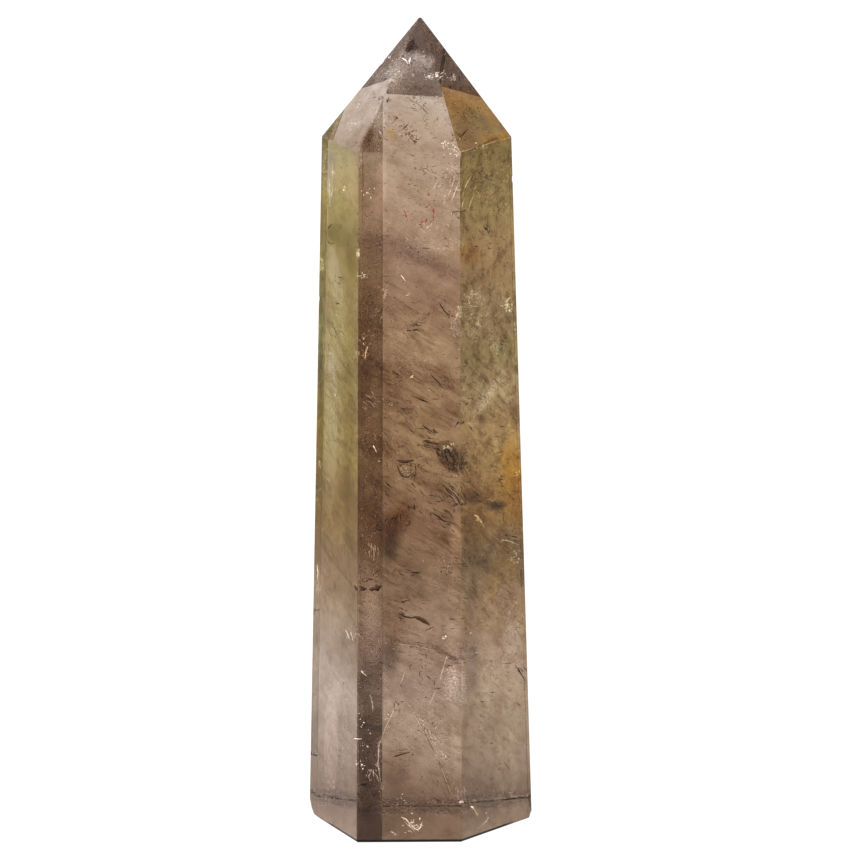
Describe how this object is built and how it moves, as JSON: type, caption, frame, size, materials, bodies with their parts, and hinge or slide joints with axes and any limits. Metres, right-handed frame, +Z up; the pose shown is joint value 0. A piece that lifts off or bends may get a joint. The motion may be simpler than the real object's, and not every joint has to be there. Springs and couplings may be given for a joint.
{
  "type": "smoky quartz tower",
  "caption": "Tall six-sided smoky quartz crystal, cut and polished to a point, standing on its flat sawn base",
  "frame": {"origin": "middle of the flat base, at the level the tower stands on", "axes": "+Z up along the tower to its tip; the broad front side looks along -Y; +X to the right of that side"},
  "size_m": [0.0553, 0.0512, 0.1996],
  "materials": {
    "quartz": "polished clear brown stone with dark and pale inclusions"
  },
  "bodies": {
    "root": {"quartz_tower": "quartz"}
  },
  "joints": []
}
